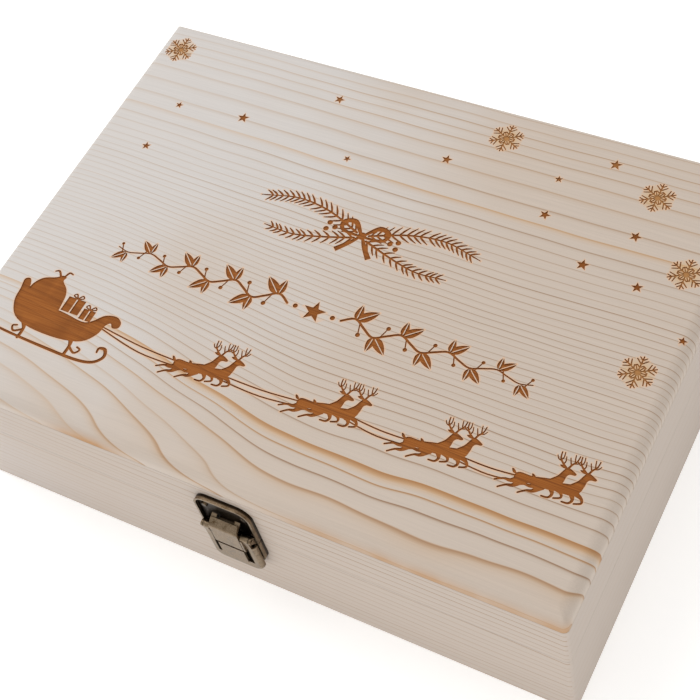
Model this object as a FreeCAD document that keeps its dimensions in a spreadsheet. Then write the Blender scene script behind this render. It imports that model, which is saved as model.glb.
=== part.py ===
import FreeCAD, Part
import os
import Sketcher

# A pine keepsake box: mitred walls, a hinged lid with a rounded top panel and a toggle latch in front.
# Millimetres. The origin is the middle of the underside, +X to the right, +Y to the back, +Z up.

SIZES = {
    # the wooden box
    "box_width": 300.0,
    "box_depth": 220.0,
    "base_height": 52.0,
    "seat_gap": 0.2,  # between the lid's rails and the base's walls
    "rail_height": 27.8,
    "panel_thick": 10.0,
    "wall_thick": 9.0,
    "bottom_thick": 4.0,
    "bottom_lap": 5.0,  # how far the bottom panel enters the rebate in the walls
    "panel_round": 6.0,  # round-over of the top panel's upper edges
    "corner_round": 2.5,  # the box's upright corners
    "foot_round": 1.0,  # lower outside edges of the base
    # the screws
    "screw_shank": 0.8,  # radius of the threaded shank, which bites into the wood
    "screw_length": 6.5,  # under the head
    "screw_head": 1.7,  # radius
    "screw_crown": 1.2,  # radius of the head's flat top
    "screw_head_height": 0.9,
    "sheet_hole_gap": 0.15,  # between a shank and the hole in a metal sheet
    # the hinges at the back
    "hinge_spread": 170.0,  # between the middles of the two hinges
    "hinge_length": 25.0,
    "hinge_leaf": 9.5,  # from the hinge axis to the leaf's outer edge
    "hinge_sheet": 0.9,
    "hinge_corner": 1.5,
    "hinge_knuckle": 2.1,  # outer radius
    "hinge_stand": 0.15,  # between the knuckles and the wood
    "hinge_pin": 1.1,  # radius
    "hinge_end_gap": 0.1,  # each knuckle's end from the middle of its joint
    "hinge_swing_gap": 0.25,  # between a knuckle and the other leaf
    "hinge_screw_spread": 15.0,
    "hinge_screw_drop": 6.0,  # from the hinge axis
    # the latch's two plates, as pressed trays
    "latch_width": 27.0,
    "latch_sheet": 0.9,
    "latch_rim": 2.6,  # depth of the trays' rims
    "latch_corner": 6.5,
    "plate_gap": 0.3,  # from the parting plane to a plate's edge
    "strike_height": 23.5,
    "strike_screw_spread": 19.0,
    "strike_screw_rise": 16.0,  # above the parting plane
    "base_plate_height": 19.0,
    "base_screw_spread": 18.0,
    "base_screw_drop": 13.0,  # below the parting plane
    "ear_spread": 24.0,  # over the outsides of the pivot ears
    "ear_root_top": 1.6,  # below the parting plane
    "ear_root_foot": 4.5,  # below the parting plane
    # the latch's pivots; the pull of the link on its pin keeps the lever shut
    "lever_pivot_out": 4.4,  # from the front of the box
    "lever_pivot_up": 4.0,  # above the parting plane
    "link_pivot_out": 4.9,  # from the front of the box
    "link_pivot_drop": 8.6,  # below the lever pivot
    "latch_pin": 0.7,  # radius
    "latch_pin_proud": 0.3,
    "run_gap": 0.05,  # between a pin and its hole
    "side_gap": 0.3,  # between parts that swing past each other
    # the latch's lever
    "lever_width": 24.6,
    "lever_front": 5.4,  # from the front of the box
    "lever_drop": 24.0,  # below the parting plane
    "lever_corner": 5.0,
    "lever_edge": 1.8,
    "lever_knuckle": 1.6,  # outer radius
    "shoulder_drop": 2.0,  # below the parting plane
    "wing_overlap": 1.8,  # of the wings' roots with the lever's shell
    "tongue_width": 12.6,
    "tongue_top": 7.0,  # below the parting plane
    "tongue_root": 17.5,  # below the parting plane
    "tongue_proud": 0.8,  # in front of the lever's shell
    "tongue_ramp": 1.2,
    "tongue_slot": 2.6,  # beside the tongue
    # the latch's link and the catch that it holds
    "link_width": 13.6,
    "link_knuckle": 1.5,  # outer radius
    "link_top": 11.6,  # above the parting plane, at the tip
    "link_shoulder": 8.2,  # above the parting plane, in front
    "link_tip": 1.6,  # from the front of the box
    "link_bend": 1.4,
    "link_bar": 1.3,
    "notch_width": 8.6,
    "catch_width": 8.0,
    "catch_gap": 0.5,  # from the link's bar
    "catch_drop": 2.8,  # below the link's top
    "catch_lip": 0.8,
    # how far cuts run past what they cut
    "overrun": 1.0,
}
KNUCKLES = 3
LID_KNUCKLES = (1,)
BASE_KNUCKLES = (0, 2)

doc = FreeCAD.newDocument("keepsake_box")
sheet = doc.addObject("Spreadsheet::Sheet", "sizes")
for row, (alias, number) in enumerate(SIZES.items(), start=1):
    sheet.set(f"A{row}", alias)
    sheet.set(f"B{row}", str(number))
    sheet.setAlias(f"B{row}", alias)
doc.recompute()


class Size:
    """A length worked out from the sheet: its expression and its present value."""

    def __init__(self, text, value):
        self.text = text
        self.value = value

    def __add__(self, other):
        return Size(f"({self.text} + {text_of(other)})", self.value + value_of(other))

    def __sub__(self, other):
        return Size(f"({self.text} - {text_of(other)})", self.value - value_of(other))

    def __mul__(self, factor):
        return Size(f"({self.text} * {text_of(factor)})", self.value * value_of(factor))

    def __truediv__(self, factor):
        return Size(f"({self.text} / {text_of(factor)})", self.value / value_of(factor))

    def __neg__(self):
        return Size(f"(0 - {self.text})", -self.value)


def text_of(length):
    return length.text if isinstance(length, Size) else f"({length})"


def value_of(length):
    return length.value if isinstance(length, Size) else length


class Sheet:
    """Every size of the sheet, by its alias."""

    def __init__(self):
        for alias in SIZES:
            setattr(self, alias, Size(f"sizes.{alias}", sheet.get(alias)))


s = Sheet()
parts = {}

# places that several pieces share
half_width = s.box_width / 2
half_depth = s.box_depth / 2
rail_floor = s.base_height + s.seat_gap
panel_floor = rail_floor + s.rail_height
box_top = panel_floor + s.panel_thick
parting = s.base_height + s.seat_gap / 2
hinge_axis = half_depth + s.hinge_stand + s.hinge_knuckle
screw_hole = s.screw_shank + s.sheet_hole_gap


def bind(item, name, length):
    """Tie one property of an object to a length."""
    item.setExpression(name, text_of(length))


def place(item, x, y, z):
    for axis, length in zip("xyz", (x, y, z)):
        bind(item, f"Placement.Base.{axis}", length)


def block(name, x, y, z):
    """A block between two places along each axis."""
    solid = doc.addObject("Part::Box", name)
    for side, (low, high) in zip(("Length", "Width", "Height"), (x, y, z)):
        bind(solid, side, high - low)
    place(solid, x[0], y[0], z[0])
    return solid


TURNS = {
    "front": FreeCAD.Rotation(FreeCAD.Vector(1, 0, 0), 90),
    "back": FreeCAD.Rotation(FreeCAD.Vector(1, 0, 0), -90),
    "right": FreeCAD.Rotation(FreeCAD.Vector(0, 1, 0), 90),
}


def rod(name, radius, length, start, toward):
    """A round rod from start towards the front, back or right."""
    solid = doc.addObject("Part::Cylinder", name)
    bind(solid, "Radius", radius)
    bind(solid, "Height", length)
    solid.Placement.Rotation = TURNS[toward]
    place(solid, *start)
    return solid


def joined(name, base, tool):
    solid = doc.addObject("Part::Fuse", name)
    solid.Base = base
    solid.Tool = tool
    return solid


def cut(name, base, tool):
    solid = doc.addObject("Part::Cut", name)
    solid.Base = base
    solid.Tool = tool
    return solid


def shared(name, base, tool):
    solid = doc.addObject("Part::Common", name)
    solid.Base = base
    solid.Tool = tool
    return solid


def rounded(name, base, radii):
    """The base with edges rounded; each pair is a test that picks edges and their radius."""
    doc.recompute()
    solid = doc.addObject("Part::Fillet", name)
    solid.Base = base
    solid.Edges = [
        (number, radius.value, radius.value)
        for number, edge in enumerate(base.Shape.Edges, start=1)
        for picked, radius in radii
        if picked(edge.BoundBox, base.Shape.BoundBox)
    ]
    return solid


def upright(edge, whole):
    return edge.ZLength > edge.XLength + edge.YLength


def at_top(edge, whole):
    return edge.ZMin > whole.Center.z


def at_foot(edge, whole):
    return edge.ZMax < whole.Center.z


# The frames: four mitred boards each, with the corners rounded after they are glued up.

SIDES = ("back", "left", "front", "right")
QUARTER_TURN = FreeCAD.Rotation(FreeCAD.Vector(0, 0, 1), 90)


def mitred_board(name, side, low, high):
    """A board with 45 degree ends, its outer face on the given side of the box."""
    reach, half_length = (half_depth, half_width) if side in ("front", "back") else (half_width, half_depth)
    board = doc.addObject("Part::Wedge", name)
    bind(board, "Ymin", reach - s.wall_thick)
    bind(board, "Ymax", reach)
    bind(board, "Xmin", s.wall_thick - half_length)
    bind(board, "Xmax", half_length - s.wall_thick)
    bind(board, "X2min", -half_length)
    bind(board, "X2max", half_length)
    for foot, top in (("Zmin", "Zmax"), ("Z2min", "Z2max")):
        bind(board, foot, low)
        bind(board, top, high)
    for _ in range(SIDES.index(side)):
        board.Placement.Rotation = board.Placement.Rotation * QUARTER_TURN
    return board


def hinge_screw_places(up):
    """The middles of the screws of both hinges, on the base's leaves or on the lid's."""
    return [
        (s.hinge_spread / 2 * hand + s.hinge_screw_spread / 2 * side, parting + s.hinge_screw_drop * up)
        for hand in (-1, 1)
        for side in (-1, 1)
    ]


def latch_screw_places(spread, rise):
    return [(spread / 2 * side, parting + rise) for side in (-1, 1)]


SCREWS = {
    "hinge_base_screws": ("back", s.hinge_sheet, hinge_screw_places(-1)),
    "hinge_lid_screws": ("back", s.hinge_sheet, hinge_screw_places(1)),
    "latch_base_screws": ("front", s.latch_sheet, latch_screw_places(s.base_screw_spread, -s.base_screw_drop)),
    "latch_strike_screws": ("front", s.latch_sheet, latch_screw_places(s.strike_screw_spread, s.strike_screw_rise)),
}
INWARD = {"front": "back", "back": "front"}


def outward(side, distance):
    """The place along Y at a distance out from the front or the back of the box."""
    return half_depth + distance if side == "back" else -(half_depth + distance)


def board_frame(prefix, suffix, low, high, outline, seat):
    """Four boards; outline rounds the corners and seat, if any, cuts the rebate."""
    for side in SIDES:
        label = f"{prefix}_{side}_{suffix}"
        board = shared(f"{label}_rounded", mitred_board(f"{label}_mitred", side, low, high), outline)
        if seat:
            board = cut(f"{label}_cut", board, seat)
        board.Label = label
        parts[label] = board


whole_x = (-half_width, half_width)
whole_y = (-half_depth, half_depth)
inside_x = half_width - s.wall_thick
inside_y = half_depth - s.wall_thick
bottom_x = (-(inside_x + s.bottom_lap), inside_x + s.bottom_lap)
bottom_y = (-(inside_y + s.bottom_lap), inside_y + s.bottom_lap)
ground = s.overrun * 0

base_stock = block("base_stock", whole_x, whole_y, (ground, s.base_height))
base_outline = rounded("base_outline", base_stock, [(upright, s.corner_round), (at_foot, s.foot_round)])
bottom_seat = block("bottom_seat", bottom_x, bottom_y, (-s.overrun, s.bottom_thick))
board_frame("base", "wall", ground, s.base_height, base_outline, bottom_seat)
parts["base_bottom_panel"] = block("base_bottom_panel", bottom_x, bottom_y, (ground, s.bottom_thick))

lid_stock = block("lid_stock", whole_x, whole_y, (rail_floor, box_top))
lid_outline = rounded("lid_outline", lid_stock, [(upright, s.corner_round)])
board_frame("lid", "rail", rail_floor, panel_floor, lid_outline, None)

panel_stock = block("panel_stock", whole_x, whole_y, (panel_floor, box_top))
panel_eased = rounded("panel_eased", panel_stock, [(at_top, s.panel_round)])
parts["lid_top_panel"] = shared("lid_top_panel", panel_eased, lid_outline)

# The screws: a shank in the wood and a crowned head on the metal sheet.


def screw(name, side, thickness, x, z):
    seat = (x, outward(side, thickness), z)
    shank = rod(f"{name}_shank", s.screw_shank, s.screw_length, seat, INWARD[side])
    head = doc.addObject("Part::Cone", f"{name}_head")
    bind(head, "Radius1", s.screw_head)
    bind(head, "Radius2", s.screw_crown)
    bind(head, "Height", s.screw_head_height)
    head.Placement.Rotation = TURNS[side]
    place(head, *seat)
    return joined(name, shank, head)


for group_name, (group_side, group_sheet, group_places) in SCREWS.items():
    group = doc.addObject("Part::Compound", group_name)
    group.Links = [
        screw(f"{group_name}_{number}", group_side, group_sheet, x, z)
        for number, (x, z) in enumerate(group_places)
    ]
    parts[group_name] = group

# Sketched sheet metal: bodies of pads, pockets and bends.


def new_body(label):
    body = doc.addObject("PartDesign::Body", label)
    parts[label] = body
    return body


def new_sketch(body, plane, offset):
    """A sketch on one of the body's own planes, moved along that plane's normal."""
    sketch = body.newObject("Sketcher::SketchObject", f"{body.Name}_sketch")
    support = next(item for item in body.Origin.OriginFeatures if item.Role == plane)
    sketch.AttachmentSupport = [(support, "")]
    sketch.MapMode = "FlatFace"
    bind(sketch, "AttachmentOffset.Base.z", offset)
    return sketch


def pin_point(sketch, edge, end, point):
    for kind, length in zip(("DistanceX", "DistanceY"), point):
        index = sketch.addConstraint(Sketcher.Constraint(kind, edge, end, value_of(length)))
        bind(sketch, f"Constraints[{index}]", length)


def draw_outline(sketch, corners):
    """A closed outline of straight edges through the corners."""
    spots = [FreeCAD.Vector(value_of(x), value_of(y), 0) for x, y in corners]
    first = sketch.GeometryCount
    edges = [sketch.addGeometry(Part.LineSegment(a, b)) for a, b in zip(spots, spots[1:] + spots[:1])]
    for edge in edges:
        following = edge + 1 if edge + 1 < first + len(edges) else first
        sketch.addConstraint(Sketcher.Constraint("Coincident", edge, 2, following, 1))
    for edge, corner in zip(edges, corners):
        pin_point(sketch, edge, 1, corner)


def draw_rectangle(sketch, low, high):
    draw_outline(sketch, [low, (high[0], low[1]), high, (low[0], high[1])])


def draw_circle(sketch, centre, radius):
    spot = FreeCAD.Vector(value_of(centre[0]), value_of(centre[1]), 0)
    edge = sketch.addGeometry(Part.Circle(spot, FreeCAD.Vector(0, 0, 1), radius.value))
    pin_point(sketch, edge, 3, centre)
    index = sketch.addConstraint(Sketcher.Constraint("Radius", edge, radius.value))
    bind(sketch, f"Constraints[{index}]", radius)


def pad(body, sketch, length):
    feature = body.newObject("PartDesign::Pad", f"{body.Name}_pad")
    feature.Profile = sketch
    bind(feature, "Length", length)
    doc.recompute()
    return feature


def pocket(body, sketch, length=None, reverse=False):
    """Cut the sketch away, right through the body where no length is given."""
    before = body.Shape.Volume
    feature = body.newObject("PartDesign::Pocket", f"{body.Name}_pocket")
    feature.Profile = sketch
    feature.Reversed = reverse
    if length:
        bind(feature, "Length", length)
    else:
        feature.Type = "ThroughAll"
    doc.recompute()
    if not feature.Shape.Volume < before:
        raise RuntimeError(f"{feature.Label} cuts nothing")
    return feature


LENGTHS = ("XLength", "YLength", "ZLength")


def bend(body, along, places, radius):
    """Round the edges along X, Y or Z that lie nearest to the given places, which leave that axis out."""
    axis = "XYZ".index(along)
    others = [number for number in range(len(LENGTHS)) if number != axis]
    edges = [
        (f"Edge{number}", edge)
        for number, edge in enumerate(body.Shape.Edges, start=1)
        if max(LENGTHS, key=lambda name: getattr(edge.BoundBox, name)) == LENGTHS[axis]
    ]

    def distance(edge, spot):
        middle = edge.CenterOfMass
        return sum((middle[number] - value_of(goal)) ** 2 for number, goal in zip(others, spot))

    names = [min(edges, key=lambda item: distance(item[1], spot))[0] for spot in places]
    round_edges(body, names, radius)


def round_edges(body, names, radius):
    feature = body.newObject("PartDesign::Fillet", f"{body.Name}_fillet")
    feature.Base = (body.Tip if body.Tip != feature else feature.BaseFeature, names)
    bind(feature, "Radius", radius)
    doc.recompute()


# The hinges: two leaves rolled round a pin, screwed to the back.


def hinge_leaf(label, hand, up, own_knuckles):
    """One leaf; up is 1 on the lid and -1 on the base."""
    body = new_body(label)
    middle = s.hinge_spread / 2 * hand
    left_end = middle - s.hinge_length / 2
    pitch = s.hinge_length / KNUCKLES
    outer_edge = parting + s.hinge_leaf * up

    flat = new_sketch(body, "YZ_Plane", left_end)
    draw_rectangle(flat, (half_depth, parting), (half_depth + s.hinge_sheet, outer_edge))
    pad(body, flat, s.hinge_length)
    bend(body, "Y", [(left_end, outer_edge), (left_end + s.hinge_length, outer_edge)], s.hinge_corner)
    barrel = new_sketch(body, "YZ_Plane", left_end)
    draw_circle(barrel, (hinge_axis, parting), s.hinge_knuckle)
    pad(body, barrel, s.hinge_length)

    reach = s.hinge_knuckle + s.hinge_swing_gap
    notches = new_sketch(body, "XZ_Plane", half_depth * 0)
    for number in range(KNUCKLES):
        if number in own_knuckles:
            continue
        start_gap = s.overrun if number == 0 else s.hinge_end_gap
        end_gap = s.overrun if number == KNUCKLES - 1 else s.hinge_end_gap
        start = left_end + pitch * number - start_gap
        end = left_end + pitch * (number + 1) + end_gap
        draw_rectangle(notches, (start, parting - reach), (end, parting + reach))
    pocket(body, notches)
    holes = new_sketch(body, "XZ_Plane", half_depth * 0)
    for side in (-1, 1):
        spot = (middle + s.hinge_screw_spread / 2 * side, parting + s.hinge_screw_drop * up)
        draw_circle(holes, spot, screw_hole)
    pocket(body, holes)
    bore = new_sketch(body, "YZ_Plane", left_end + s.hinge_length + s.overrun)
    draw_circle(bore, (hinge_axis, parting), s.hinge_pin + s.run_gap)
    pocket(body, bore)


def hinge_pin(label, hand):
    left_end = s.hinge_spread / 2 * hand - s.hinge_length / 2
    parts[label] = rod(label, s.hinge_pin, s.hinge_length, (left_end, hinge_axis, parting), "right")


for hinge_name, hinge_hand in (("left", -1), ("right", 1)):
    hinge_leaf(f"{hinge_name}_hinge_base_leaf", hinge_hand, -1, BASE_KNUCKLES)
    hinge_leaf(f"{hinge_name}_hinge_lid_leaf", hinge_hand, 1, LID_KNUCKLES)
    hinge_pin(f"{hinge_name}_hinge_pin", hinge_hand)

# The toggle latch: distances out are from the front of the box, distances up from the parting plane.

lever_pivot = (s.lever_pivot_out, s.lever_pivot_up)
link_pivot = (s.link_pivot_out, s.lever_pivot_up - s.link_pivot_drop)
lever_back = s.latch_rim + s.side_gap
lever_half = s.lever_width / 2
link_front = s.link_pivot_out + s.link_knuckle
link_half = s.link_width / 2
ear_inner = s.ear_spread / 2 - s.latch_sheet
wing_outer = ear_inner - s.side_gap
wing_inner = link_half + s.side_gap
pin_hole = s.latch_pin + s.run_gap


def side_spot(out, up):
    """A place in the side view, as Y and Z."""
    return (-(half_depth + out), parting + up)


def front_sketch(body, out):
    return new_sketch(body, "XZ_Plane", half_depth + out)


def side_sketch(body, x):
    return new_sketch(body, "YZ_Plane", x)


def both_sides(inner, thickness):
    """Where a pad along X starts on the left and on the right, for two flanges that mirror each other."""
    return (-(inner + thickness), inner)


def pin_bore(body, pivot, half_length):
    bore = side_sketch(body, half_length + s.overrun)
    draw_circle(bore, side_spot(*pivot), pin_hole)
    pocket(body, bore, (half_length + s.overrun) * 2)


def pressed_tray(body, height, up):
    """A plate with a rim on three sides, open at the parting plane; up is 1 on the lid and -1 on the base."""
    half = s.latch_width / 2
    near = parting + s.plate_gap * up
    far = parting + height * up
    blank = front_sketch(body, half * 0)
    draw_rectangle(blank, (-half, near), (half, far))
    pad(body, blank, s.latch_rim)
    inner = half - s.latch_sheet
    inner_far = far - s.latch_sheet * up
    hollow = front_sketch(body, s.latch_sheet)
    draw_rectangle(hollow, (-inner, near - s.overrun * up), (inner, inner_far))
    pocket(body, hollow, s.latch_rim, reverse=True)
    bend(body, "Y", [(-inner, inner_far), (inner, inner_far)], s.latch_corner - s.latch_sheet)
    bend(body, "Y", [(-half, far), (half, far)], s.latch_corner)


def plate_holes(body, places):
    holes = front_sketch(body, s.overrun)
    for spot in places:
        draw_circle(holes, spot, screw_hole)
    pocket(body, holes)


strike = new_body("latch_strike_plate")
pressed_tray(strike, s.strike_height, 1)
catch_top = s.link_top - s.catch_drop
catch_end = link_front - s.link_bar - s.catch_gap
catch = side_sketch(strike, -(s.catch_width / 2))
draw_outline(catch, [
    side_spot(s.latch_sheet / 2, catch_top - s.latch_sheet),
    side_spot(catch_end, catch_top - s.latch_sheet),
    side_spot(catch_end, catch_top + s.catch_lip),
    side_spot(catch_end - s.latch_sheet, catch_top + s.catch_lip),
    side_spot(catch_end - s.latch_sheet, catch_top),
    side_spot(s.latch_sheet / 2, catch_top),
])
pad(strike, catch, s.catch_width)
plate_holes(strike, SCREWS["latch_strike_screws"][2])

base_plate = new_body("latch_base_plate")
pressed_tray(base_plate, s.base_plate_height, -1)
for ear_start in both_sides(ear_inner, s.latch_sheet):
    ear = side_sketch(base_plate, ear_start)
    draw_outline(ear, [
        side_spot(s.latch_sheet / 2, -s.ear_root_foot),
        side_spot(s.latch_sheet / 2, -s.ear_root_top),
        side_spot(s.lever_pivot_out - s.lever_knuckle, s.lever_pivot_up),
        side_spot(s.lever_pivot_out + s.lever_knuckle, s.lever_pivot_up),
    ])
    pad(base_plate, ear, s.latch_sheet)
    ear_eye = side_sketch(base_plate, ear_start)
    draw_circle(ear_eye, side_spot(*lever_pivot), s.lever_knuckle)
    pad(base_plate, ear_eye, s.latch_sheet)
pin_bore(base_plate, lever_pivot, s.latch_width / 2)
plate_holes(base_plate, SCREWS["latch_base_screws"][2])

lever = new_body("latch_lever")
lever_foot = parting - s.lever_drop
shoulder = parting - s.shoulder_drop
shell = front_sketch(lever, lever_back)
draw_rectangle(shell, (-lever_half, lever_foot), (lever_half, shoulder))
pad(lever, shell, s.lever_front - lever_back)
hollow_half = lever_half - s.latch_sheet
hollow_foot = lever_foot + s.latch_sheet
lever_hollow = front_sketch(lever, s.lever_front - s.latch_sheet)
draw_rectangle(lever_hollow, (-hollow_half, hollow_foot), (hollow_half, shoulder + s.overrun))
pocket(lever, lever_hollow, s.lever_front)
bend(lever, "Y", [(-hollow_half, hollow_foot), (hollow_half, hollow_foot)], s.lever_corner - s.latch_sheet)
bend(lever, "Y", [(-lever_half, lever_foot), (lever_half, lever_foot)], s.lever_corner)
front_face = min(lever.Shape.Faces, key=lambda face: face.CenterOfMass.y)
round_edges(lever, [
    f"Edge{number}"
    for number, edge in enumerate(lever.Shape.Edges, start=1)
    if any(edge.isSame(other) for other in front_face.Edges) and edge.BoundBox.ZMin < front_face.BoundBox.Center.z
], s.lever_edge)

# the lever's window, with the tongue that closes its lower part between two slots
slot_half = s.tongue_width / 2 + s.tongue_slot
slot_top = shoulder - s.wing_overlap
tongue_root = parting - s.tongue_root
window = front_sketch(lever, s.lever_front + s.overrun)
draw_outline(window, [
    (-wing_inner, shoulder + s.overrun),
    (-wing_inner, slot_top),
    (-slot_half, slot_top),
    (-slot_half, tongue_root),
    (slot_half, tongue_root),
    (slot_half, slot_top),
    (wing_inner, slot_top),
    (wing_inner, shoulder + s.overrun),
])
pocket(lever, window)
sheet_back = s.lever_front - s.latch_sheet
tongue_ramp = s.tongue_ramp - s.tongue_root
tongue = side_sketch(lever, -(s.tongue_width / 2))
draw_outline(tongue, [
    side_spot(sheet_back, -(s.tongue_root + s.latch_sheet)),
    side_spot(s.lever_front, -(s.tongue_root + s.latch_sheet)),
    side_spot(s.lever_front, -s.tongue_root),
    side_spot(s.lever_front + s.tongue_proud, tongue_ramp),
    side_spot(s.lever_front + s.tongue_proud, -s.tongue_top),
    side_spot(sheet_back + s.tongue_proud, -s.tongue_top),
    side_spot(sheet_back + s.tongue_proud, tongue_ramp),
    side_spot(sheet_back, -s.tongue_root),
])
pad(lever, tongue, s.tongue_width)

# the wings, which flare out to roll round the lever pin, and the flanges that hold the link pin
wing_width = wing_outer - wing_inner
roll_front = s.lever_pivot_out + s.lever_knuckle
for wing_start in both_sides(wing_inner, wing_width):
    wing = side_sketch(lever, wing_start)
    draw_outline(wing, [
        side_spot(sheet_back, -(s.shoulder_drop + s.wing_overlap)),
        side_spot(s.lever_front, -(s.shoulder_drop + s.wing_overlap)),
        side_spot(s.lever_front, -s.shoulder_drop),
        side_spot(roll_front, s.lever_pivot_up),
        side_spot(roll_front - s.latch_sheet, s.lever_pivot_up),
        side_spot(sheet_back, -s.shoulder_drop),
    ])
    pad(lever, wing, wing_width)
    roll = side_sketch(lever, wing_start)
    draw_circle(roll, side_spot(*lever_pivot), s.lever_knuckle)
    pad(lever, roll, wing_width)
for flange_start in both_sides(wing_inner, s.latch_sheet):
    flange = side_sketch(lever, flange_start)
    draw_rectangle(flange, side_spot(link_front, link_pivot[1]),
                   side_spot(s.link_pivot_out - s.link_knuckle, s.lever_pivot_up))
    pad(lever, flange, s.latch_sheet)
    flange_eye = side_sketch(lever, flange_start)
    draw_circle(flange_eye, side_spot(*link_pivot), s.link_knuckle)
    pad(lever, flange_eye, s.latch_sheet)
pin_bore(lever, lever_pivot, lever_half)
pin_bore(lever, link_pivot, wing_inner + s.latch_sheet)

link = new_body("latch_link")
strap_back = link_front - s.latch_sheet
strap_slope = (s.link_top - s.link_shoulder) / (link_front - s.link_tip)
strap = side_sketch(link, -link_half)
draw_outline(strap, [
    side_spot(strap_back, link_pivot[1]),
    side_spot(link_front, link_pivot[1]),
    side_spot(link_front, s.link_shoulder),
    side_spot(s.link_tip, s.link_top),
    side_spot(s.link_tip, s.link_top - s.latch_sheet),
    side_spot(strap_back, s.link_shoulder - s.latch_sheet + s.latch_sheet * strap_slope),
])
pad(link, strap, s.link_width)
bend(link, "X", [side_spot(link_front, s.link_shoulder)], s.link_bend)
bend(link, "X", [side_spot(strap_back, s.link_shoulder - s.latch_sheet)], s.link_bend - s.latch_sheet)
curl = side_sketch(link, -link_half)
draw_circle(curl, side_spot(*link_pivot), s.link_knuckle)
pad(link, curl, s.link_width)
notch = new_sketch(link, "XY_Plane", parting + s.link_top + s.overrun)
draw_rectangle(notch, (-(s.notch_width / 2), -(half_depth + link_front - s.link_bar)),
               (s.notch_width / 2, -(half_depth + s.link_tip - s.overrun)))
pocket(link, notch, s.overrun + s.link_top - s.link_shoulder + s.latch_sheet + s.link_bend)
pin_bore(link, link_pivot, link_half)


def latch_pin(label, pivot, half_length):
    y, z = side_spot(*pivot)
    parts[label] = rod(label, s.latch_pin, half_length * 2, (-half_length, y, z), "right")


latch_pin("latch_lever_pin", lever_pivot, s.ear_spread / 2 + s.latch_pin_proud)
latch_pin("latch_link_pin", link_pivot, wing_inner + s.latch_sheet + s.latch_pin_proud)

# Build, check every object, then write one file for each piece.

doc.recompute()
failed = [item.Label for item in doc.Objects if {"Invalid", "Error"} & set(item.State)]
failed += [label for label, piece in parts.items() if piece.Shape.isNull() or not piece.Shape.isValid()]
if failed:
    raise RuntimeError(f"not built: {failed}")
os.makedirs("parts", exist_ok=True)
for label, piece in parts.items():
    piece.Shape.exportStep(f"parts/{label}.step")
print(f"{len(parts)} pieces written")
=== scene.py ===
import math

import bpy
from mathutils import Matrix, Quaternion, Vector
from mathutils.geometry import delaunay_2d_cdt


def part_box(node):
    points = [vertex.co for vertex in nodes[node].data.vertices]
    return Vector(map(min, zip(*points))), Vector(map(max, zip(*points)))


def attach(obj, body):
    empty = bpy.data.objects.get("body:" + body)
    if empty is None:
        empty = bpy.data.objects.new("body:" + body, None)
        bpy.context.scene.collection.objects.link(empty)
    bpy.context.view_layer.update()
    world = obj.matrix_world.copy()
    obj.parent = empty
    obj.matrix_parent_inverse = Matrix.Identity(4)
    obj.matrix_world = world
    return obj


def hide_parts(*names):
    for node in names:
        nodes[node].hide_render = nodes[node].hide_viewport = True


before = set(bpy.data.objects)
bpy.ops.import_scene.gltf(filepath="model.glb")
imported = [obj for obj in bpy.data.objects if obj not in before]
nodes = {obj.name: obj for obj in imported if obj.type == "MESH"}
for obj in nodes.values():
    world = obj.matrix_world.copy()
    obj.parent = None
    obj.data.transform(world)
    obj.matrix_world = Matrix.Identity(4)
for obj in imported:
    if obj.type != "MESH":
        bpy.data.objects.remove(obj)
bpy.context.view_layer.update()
MM = 0.001
X_AXIS, Y_AXIS, Z_AXIS = 0, 1, 2

# Lengths are in millimetres. Places on the lid count from its middle, +X to the right and +Y to the hinges.

panel_low, panel_high = (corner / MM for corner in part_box("lid_top_panel"))
PANEL_HALF = (panel_high.x, panel_high.y)
PANEL_FRONT = -panel_high.y
PANEL_TOP = panel_high.z
PANEL_FLOOR = panel_low.z
PANEL_ROUND = 6.0
ROUND_STEPS = 12
CORNER_ROUND = 2.5
CORNER_STEPS = 6
CORNER_LEAST = 0.02
OUTLINE_STEP = 3.0
JOINT_EASE = 0.25
ENGRAVING_DEPTH = 0.45
SCORCH_REACH = 1.0
SCORCH_EDGE_GAP = 0.5
MERGE_DISTANCE = 1e-5
SEARCH_CELL = 4.0


# Shapes in the plane

def rounded_line(points, closed, steps=5):
    """A smooth line through the points."""
    spots = [Vector(point) for point in points]
    count = len(spots)
    line = []
    for number in range(count if closed else count - 1):
        around = [number + step for step in (-1, 0, 1, 2)]
        if closed:
            a, b, c, d = (spots[index % count] for index in around)
        else:
            a, b, c, d = (spots[min(max(index, 0), count - 1)] for index in around)
        for step in range(steps):
            t = step / steps
            line.append(0.5 * (2 * b + (c - a) * t + (2 * a - 5 * b + 4 * c - d) * t ** 2
                               + (3 * b - a - 3 * c + d) * t ** 3))
    if not closed:
        line.append(spots[-1])
    return line


def blob(points, steps=5):
    """A filled shape with a smooth outline through the points."""
    return [rounded_line(points, True, steps)]


def disc(centre, radius, sides=14):
    turns = [math.tau * side / sides for side in range(sides)]
    return [[Vector(centre) + radius * Vector((math.cos(turn), math.sin(turn))) for turn in turns]]


END_SIDES = 8


def stroke(points, widths, steps=5, round_ends=True):
    """A line whose width passes through the given ones, as one shape for each short stretch."""
    line = rounded_line(points, False, steps)
    last = len(line) - 1
    spans = len(widths) - 1
    left, right = [], []
    for number, spot in enumerate(line):
        along = (line[min(number + 1, last)] - line[max(number - 1, 0)]).normalized()
        share = number / last * spans
        index = min(int(share), spans - 1)
        width = widths[index] + (widths[index + 1] - widths[index]) * (share - index)
        side = Vector((-along.y, along.x)) * width / 2
        left.append(spot + side)
        right.append(spot - side)
    shapes = [[right[n], right[n + 1], left[n + 1], left[n]] for n in range(last)]
    if round_ends:
        shapes += disc(line[0], widths[0] / 2, END_SIDES) + disc(line[-1], widths[-1] / 2, END_SIDES)
    return shapes


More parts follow.
